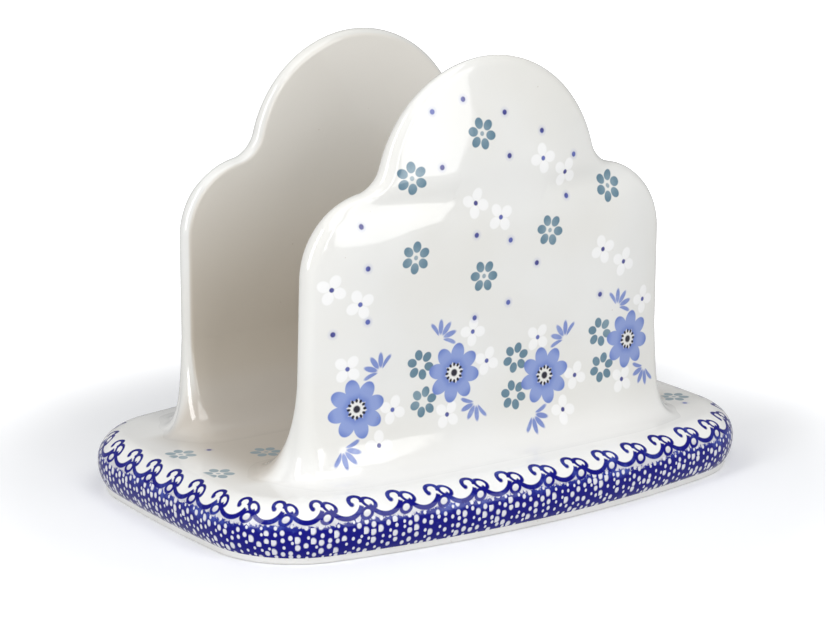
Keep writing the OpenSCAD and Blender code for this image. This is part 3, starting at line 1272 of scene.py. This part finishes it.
@dataclass
class NapkinWall:
    """One lobed wall and the flare that runs round its foot."""

    side: Side
    gap: float = 51 * MM
    thickness: float = 7.7 * MM
    height: float = 117.5 * MM
    base_h: float = 15.5 * MM
    shoulder_r: float = 20.5 * MM
    shoulder_c: Point = (35.8 * MM, 66 * MM)
    dome_r: float = 34 * MM
    notch_r: float = 8.5 * MM
    lean: float = math.radians(1.5)
    spread: float = math.radians(-1.0)
    inner_round: float = 2.2 * MM
    edge_round: float = 2.6 * MM
    pillow_d: float = 2.8 * MM
    pillow_w: float = 20 * MM
    bulge: float = 1.9 * MM
    groove_z: float = 83.0 * MM
    groove_w: float = 3.0 * MM
    groove_d: float = 0.85 * MM
    dome_lean: float = math.radians(5)
    flare_h: float = 24 * MM
    flare_skin: float = 0.3 * MM
    flare_reaches: tuple[Point, ...] = ((-90, 16 * MM), (-35, 12 * MM), (0, 6.5 * MM), (40, 6.5 * MM),
                                        (90, 11 * MM))

    def __post_init__(self) -> None:
        """Works out the other arcs' centres."""
        self.dome_c: Point = (0.0, self.height - self.dome_r)
        self.notch_c = crossing(self.shoulder_c, self.shoulder_r + self.notch_r, self.dome_c,
                                self.dome_r + self.notch_r, -1.0)

    def fall(self, inset: float) -> float:
        """Says how far the outer face lies below its middle plane.

        Args:
            inset: Distance in from the wall's outline.

        Returns:
            The depth below the plane.
        """
        low = self.pillow_d * max(0.0, 1 - inset / self.pillow_w) ** 2
        if inset < self.edge_round:
            low += self.edge_round - math.sqrt(self.edge_round**2 - (self.edge_round - inset) ** 2)
        return low

    def section(self) -> list[Point]:
        """Works out the section of the wall's edge.

        Returns:
            The section as (inset, depth from the inner face).
        """
        points: list[Point] = []
        for step in range(9):
            angle = math.radians(90 * step / 8)
            points.append((self.inner_round * (1 - math.sin(angle)), self.inner_round * (1 - math.cos(angle))))
        for step in range(11):
            inset = self.edge_round * (1 - math.cos(math.radians(90 * step / 10)))
            points.append((inset, self.thickness - self.fall(inset)))
        for step in range(1, 13):
            inset = self.edge_round + (self.pillow_w - self.edge_round) * step / 12
            points.append((inset, self.thickness - self.fall(inset)))
        return points

    def side_x(self, inset: float, z: float) -> float:
        """Says where the straight side stands at a height."""
        return (self.shoulder_c[0] + (self.shoulder_r - inset) / math.cos(self.spread)
                + math.tan(self.spread) * (z - self.shoulder_c[1]))

    def swell(self, x: float, depth: float, z: float) -> float:
        """Says how far the outer face stands out of its plane.

        The face swells a little as a whole, a soft groove runs across it from notch to notch, and above that
        the dome leans back.

        Args:
            x: Place along the wall.
            depth: Depth from the inner face, 0 to the thickness.
            z: Height.

        Returns:
            The distance outwards, which is negative where the face falls back.
        """
        level = max(0.0, 1 - (x / (58 * MM)) ** 2) * max(0.0, 1 - ((z - 46 * MM) / (72 * MM)) ** 2)
        groove = math.exp(-(((z - self.groove_z) / self.groove_w) ** 2)) * (1 + min(1.0, abs(x) / (30 * MM)) ** 2)
        over = max(0.0, z - self.groove_z)
        back = math.tan(self.dome_lean) * over**2 / (over + 3 * MM)
        share = min(1.0, max(0.0, depth / self.thickness - 0.3) / 0.7)
        return share * (self.bulge * level - self.groove_d * groove - back)

    def place_y(self, x: float, depth: float, z: float) -> float:
        """Says how far from the middle of the holder a point of the wall stands."""
        return self.gap / 2 + depth + self.swell(x, depth, z) + math.tan(self.lean) * (z - self.base_h)

    def build_wall(self, material: bpy.types.Material) -> bpy.types.Object:
        """Builds the wall in place of the CAD's.

        Args:
            material: The wall glaze.

        Returns:
            The piece.
        """
        bm = bmesh.new()
        profile = self.section()
        start = [Vector((self.shoulder_c[0] + (self.shoulder_r - inset) * math.cos(self.spread), depth,
                         self.shoulder_c[1] - (self.shoulder_r - inset) * math.sin(self.spread)))
                 for inset, depth in profile]
        top = chain(bm, start)
        geom: list = list(top) + list({v for e in top for v in e.verts})
        edges, order = top, [top[0].verts[0]] + [edge.verts[1] for edge in top]
        steps = 14
        for step in range(1, steps + 1):
            places = []
            for point, (inset, depth) in zip(start, profile):
                z = point.z + (self.base_h - point.z) * step / steps
                places.append(Vector((self.side_x(inset, z), depth, z)))
            edges, order = self.carry(bm, edges, order, places)
        to_notch = math.atan2(self.notch_c[1] - self.shoulder_c[1], self.notch_c[0] - self.shoulder_c[0])
        to_dome = math.atan2(self.notch_c[1] - self.dome_c[1], self.notch_c[0] - self.dome_c[0])
        anticlockwise, clockwise = Vector((0, -1, 0)), Vector((0, 1, 0))
        for centre, axis, turn, count in (
            (self.shoulder_c, anticlockwise, to_notch + self.spread, 30),
            (self.notch_c, clockwise, to_notch - to_dome, 14),
            (self.dome_c, anticlockwise, math.pi / 2 - to_dome, 34),
        ):
            geom = spin_on(bm, geom, Vector((centre[0], 0, centre[1])), axis, turn, count)
        bmesh.ops.mirror(bm, geom=bm.verts[:] + bm.edges[:] + bm.faces[:], matrix=Matrix.Identity(4),
                         merge_dist=0.02 * MM, axis="X")
        bmesh.ops.remove_doubles(bm, verts=bm.verts, dist=MERGE)
        faces = self.close_faces(bm)
        self.cut_grid(bm, faces)
        close_up(bm)
        for vert in bm.verts:
            vert.co.y = self.place_y(vert.co.x, vert.co.y, vert.co.z)
        self.turn_to_side(bm)
        name = self.side.name.lower()
        piece = finished(bm, f"{name}_wall_glazed", [material])
        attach(piece, "root")
        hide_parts(f"{name}_wall")
        return piece

    def close_faces(self, bm: bmesh.types.BMesh) -> list[bmesh.types.BMFace]:
        """Fills the inner face, the outer face and the underside.

        Args:
            bm: The wall's edge strip.

        Returns:
            The outer face.
        """
        foot = [v for v in bm.verts if abs(v.co.z - self.base_h) < MERGE and v.is_boundary]
        outer: list[bmesh.types.BMFace] = []
        spans = []
        for depth in (0.0, self.thickness):
            pair = [v for v in foot if abs(v.co.y - depth) < MERGE]
            spans.append(bm.edges.new((min(pair, key=lambda v: v.co.x), max(pair, key=lambda v: v.co.x))))
            rim = [e for e in bm.edges if (e.is_boundary or e.is_wire)
                   and all(abs(v.co.y - depth) < MERGE for v in e.verts)]
            made = bmesh.ops.edgeloop_fill(bm, edges=rim)
            outer = made["faces"]
        under = [e for e in bm.edges if (e.is_boundary or e in spans)
                 and all(abs(v.co.z - self.base_h) < MERGE for v in e.verts)]
        bmesh.ops.edgeloop_fill(bm, edges=under)
        return outer

    def cut_grid(self, bm: bmesh.types.BMesh, faces: list[bmesh.types.BMFace], step: float = 5 * MM) -> None:
        """Cuts the flat outer face into a grid, so that it can swell.

        Args:
            bm: The wall's mesh.
            faces: The outer face.
            step: Spacing of the cuts.
        """
        for axis, low, high in ((0, -36 * MM, 36 * MM), (2, self.base_h, self.height - self.pillow_w)):
            count = int((high - low) / step)
            for index in range(1, count + 1):
                level = low + (high - low) * index / (count + 1)
                point, normal = [0.0, 0.0, 0.0], [0.0, 0.0, 0.0]
                point[axis], normal[axis] = level, 1.0
                region: list = list(faces)
                region += list({e for f in faces for e in f.edges}) + list({v for f in faces for v in f.verts})
                bmesh.ops.bisect_plane(bm, geom=region, dist=1e-6, plane_co=point, plane_no=normal,
                                       clear_inner=False, clear_outer=False)
                faces = [f for f in bm.faces if all(abs(v.co.y - self.thickness) < 1e-6 for v in f.verts)]

    def turn_to_side(self, bm: bmesh.types.BMesh) -> None:
        """Mirrors a back piece to the front if it belongs there, with its faces outwards.

        Args:
            bm: The piece's mesh.
        """
        if self.side is Side.FRONT:
            bmesh.ops.scale(bm, vec=(1, -1, 1), verts=bm.verts)
            bmesh.ops.reverse_faces(bm, faces=bm.faces)

    def ring(self, z: float, reach: Callable[[Vector], float]) -> list[Vector]:
        """Returns the wall's plan outline at a height, moved out along its normals.

        Args:
            z: The height.
            reach: How far out a point is moved, from its normal.

        Returns:
            The closed loop's points.
        """
        half = [(self.side_x(inset, z), depth) for inset, depth in self.section()]
        inner_x, outer_x = half[0][0], half[-1][0]
        plan: list[Point] = [(inner_x * index / 8, 0.0) for index in range(-7, 8)]
        plan += half
        plan += [(outer_x * index / 8, self.thickness) for index in range(7, -8, -1)]
        plan += [(-x, depth) for x, depth in reversed(half)]
        points = [Vector((x, self.place_y(x, depth, z), z)) for x, depth in plan]
        moved = []
        for index, point in enumerate(points):
            way = points[(index + 1) % len(points)] - points[index - 1]
            out = Vector((way.y, -way.x, 0)).normalized()
            moved.append(point + out * reach(out))
        return moved

    def reach(self, out: Vector, part: float) -> float:
        """Says how far the flare stands out of the wall.

        Args:
            out: The wall outline's normal in plan, +Y on the outer face.
            part: 1 at the flare's foot, 0 at its top.

        Returns:
            The distance along the normal.
        """
        bearing = math.degrees(math.atan2(out.y, abs(out.x)))
        width = self.flare_reaches[-1][1]
        for (low, first), (high, last) in zip(self.flare_reaches, self.flare_reaches[1:]):
            if bearing <= high:
                share = (1 - math.cos(math.pi * (bearing - low) / (high - low))) / 2
                width = first + (last - first) * share
                break
        power = 2.5 + 0.5 * out.y
        return width * (1 - (1 - part**power) ** (1 / power)) + self.flare_skin * 4 * part * (1 - part)

    def build_flare(self, material: bpy.types.Material) -> bpy.types.Object:
        """Builds the concave flare round the wall's foot in place of the CAD's.

        Args:
            material: The wall glaze.

        Returns:
            The piece.
        """
        bm = bmesh.new()
        steps = 24
        edges = chain(bm, self.ring(self.base_h + self.flare_h, lambda out: 0.0), closed=True)
        order = [edge.verts[0] for edge in edges]
        for step in range(1, steps + 1):
            part = math.cos(math.radians(90 * (1 - step / steps)))
            z = self.base_h + self.flare_h * (1 - part)
            edges, order = self.carry(bm, edges, order, self.ring(z, partial(self.reach, part=part)))
        for z in (self.base_h, self.base_h + self.flare_h - 0.3 * MM):
            edges, order = self.carry(bm, edges, order, self.ring(z, lambda out: -0.05 * MM))
        top = [e for e in bm.edges if e.is_boundary]
        bmesh.ops.bridge_loops(bm, edges=top)
        close_up(bm)
        self.turn_to_side(bm)
        name = self.side.name.lower()
        piece = finished(bm, f"{name}_flare_glazed", [material], sharp=60.0)
        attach(piece, "root")
        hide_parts(f"{name}_flare")
        return piece

    @staticmethod
    def carry(bm: bmesh.types.BMesh, edges: list[bmesh.types.BMEdge], order: list[bmesh.types.BMVert],
              places: list[Vector]) -> tuple[list[bmesh.types.BMEdge], list[bmesh.types.BMVert]]:
        """Extrudes a loop and puts its new points in their places.

        Args:
            bm: The mesh.
            edges: The loop's edges.
            order: The loop's points in order.
            places: Where each of them goes.

        Returns:
            The new loop's edges and points, in the same order.
        """
        made = bmesh.ops.extrude_edge_only(bm, edges=edges)["geom"]
        fresh = {g for g in made if isinstance(g, bmesh.types.BMVert)}
        followers = []
        for vert, place in zip(order, places):
            follower = next(e.other_vert(vert) for e in vert.link_edges if e.other_vert(vert) in fresh)
            follower.co = place
            followers.append(follower)
        new_edges = [g for g in made if isinstance(g, bmesh.types.BMEdge) and all(v in fresh for v in g.verts)]
        return new_edges, followers


# Studio


@dataclass(frozen=True)
class Softbox:
    """An upright or tilted soft panel that faces the holder, placed by where its middle stands."""

    name: str
    bearing: float
    distance: float
    middle_z: float
    width: float
    height: float
    radiance: float
    tilt: float = 0.0

    def hang(self) -> bpy.types.Object:
        """Puts the lamp up.

        Returns:
            The lamp.
        """
        data = bpy.data.lights.new(self.name, "AREA")
        data.shape = "RECTANGLE"
        data.size, data.size_y = self.width, self.height
        data.energy = self.radiance * math.pi * self.width * self.height
        lamp = bpy.data.objects.new(self.name, data)
        turn = math.radians(self.bearing)
        lamp.location = (math.sin(turn) * self.distance, -math.cos(turn) * self.distance, self.middle_z)
        lamp.rotation_euler = (math.radians(90 - self.tilt), 0.0, turn)
        lamp.visible_camera = False
        bpy.context.scene.collection.objects.link(lamp)
        return lamp


@dataclass
class Studio:
    """The pale floor, the lamps, the plain surroundings and the camera."""

    lamps: tuple[Softbox, ...] = (
        Softbox("key_panel", 16.4, 0.70, 0.29, 0.335, 0.46, 2.5, 8.0),
        Softbox("strip_panel", -6.5, 0.70, 0.29, 0.10, 0.46, 4.0, 8.0),
        Softbox("left_panel", -80.0, 0.72, 0.48, 0.22, 0.80, 6.5, 12.0),
        Softbox("high_panel", -6.0, 0.55, 0.85, 0.7, 0.5, 2.35, 55.0),
        Softbox("top_panel", -120.0, 0.15, 1.0, 1.1, 1.1, 0.5, 90.0),
    )
    near_glow: float = 0.2
    far_glow: float = 0.83
    glow_from: float = 0.1
    glow_whole: float = 0.2
    mirrored_floor: float = 0.5
    camera_place: tuple[float, float, float] = (-0.3939, -0.5604, 0.2151)
    camera_down: float = 13.93
    camera_turn: float = -34.94

    def build_floor(self) -> bpy.types.Object:
        """Builds the floor, which shows white to the camera and keeps its shadow.

        Returns:
            The floor.
        """
        bm = bmesh.new()
        bmesh.ops.create_grid(bm, x_segments=1, y_segments=1, size=6.0)
        floor = finished(bm, "floor", [self.floor_material()])
        return floor

    def floor_material(self) -> bpy.types.Material:
        """Builds the floor's material.

        Returns:
            The material.
        """
        made, tree, shader = new_material("pale_floor")
        shader.inputs["Base Color"].default_value = (0.82, 0.83, 0.85, 1)
        shader.inputs["Roughness"].default_value = 0.8
        shader.inputs["Specular IOR Level"].default_value = 0.1
        path, seen = seen_straight(tree)
        shader.inputs["Emission Color"].default_value = (1, 1, 1, 1)
        where = split_xyz(tree, tree.nodes.new("ShaderNodeTexCoord").outputs["Object"])
        far = where[0].hypot(where[1]).ramp(self.glow_from, self.glow_whole)
        feed(tree, shader.inputs["Emission Strength"], seen * (far * self.far_glow + self.near_glow))
        card = tree.nodes.new("ShaderNodeEmission")
        card.inputs["Strength"].default_value = self.mirrored_floor
        mixed = tree.nodes.new("ShaderNodeMixShader")
        feed(tree, mixed.inputs[0], path.outputs["Is Glossy Ray"])
        feed(tree, mixed.inputs[1], shader.outputs[0])
        feed(tree, mixed.inputs[2], card.outputs[0])
        feed(tree, tree.nodes["Material Output"].inputs["Surface"], mixed.outputs[0])
        return made

    @staticmethod
    def build_world() -> None:
        """Sets the plain surroundings: white to the camera, softer as light."""
        world = bpy.data.worlds.new("studio")
        bpy.context.scene.world = world
        world.use_nodes = True
        tree = world.node_tree
        back = tree.nodes["Background"]
        back.inputs["Color"].default_value = (1, 1, 1, 1)
        path, seen = seen_straight(tree)
        mirrored = Num(tree, path.outputs["Is Glossy Ray"]) * 0.1
        feed(tree, back.inputs["Strength"], seen * 0.75 + mirrored + 0.25)

    def build_camera(self) -> bpy.types.Object:
        """Sets the camera at the photograph's place.

        Returns:
            The camera.
        """
        data = bpy.data.cameras.new("photo_camera")
        data.lens, data.sensor_width = 115.0, 36.0
        data.clip_start, data.clip_end = 0.01, 50.0
        camera = bpy.data.objects.new("photo_camera", data)
        camera.location = self.camera_place
        camera.rotation_euler = (math.radians(90 - self.camera_down), 0.0, math.radians(self.camera_turn))
        bpy.context.scene.collection.objects.link(camera)
        bpy.context.scene.camera = camera
        return camera

    def build(self) -> None:
        """Sets everything up."""
        self.build_floor()
        self.build_world()
        for lamp in self.lamps:
            lamp.hang()
        self.build_camera()
        settings = bpy.context.scene.view_settings
        settings.view_transform = "Standard"


def note(piece: bpy.types.Object) -> None:
    """Logs a finished piece's name and size."""
    size = [round(s / MM, 1) for s in piece.dimensions]
    LOG.info("%s: %d faces, %s mm", piece.name, len(piece.data.polygons), size)


def main() -> None:
    """Builds the base, the walls and the studio."""
    logging.basicConfig(level=logging.INFO, format="%(name)s %(message)s")
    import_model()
    base = BaseTray()
    perimeter = 4 * base.plan.quarter / MM
    rim_glaze = BaseGlaze(perimeter=perimeter).material()
    wall_glaze = WallGlaze().material()
    note(base.build_tray(rim_glaze))
    note(base.build_foot(BareClay().material()))
    for side in Side:
        wall = NapkinWall(side)
        note(wall.build_wall(wall_glaze))
        note(wall.build_flare(wall_glaze))
    Studio().build()
    bpy.context.view_layer.update()


if __name__ == "__main__":
    main()
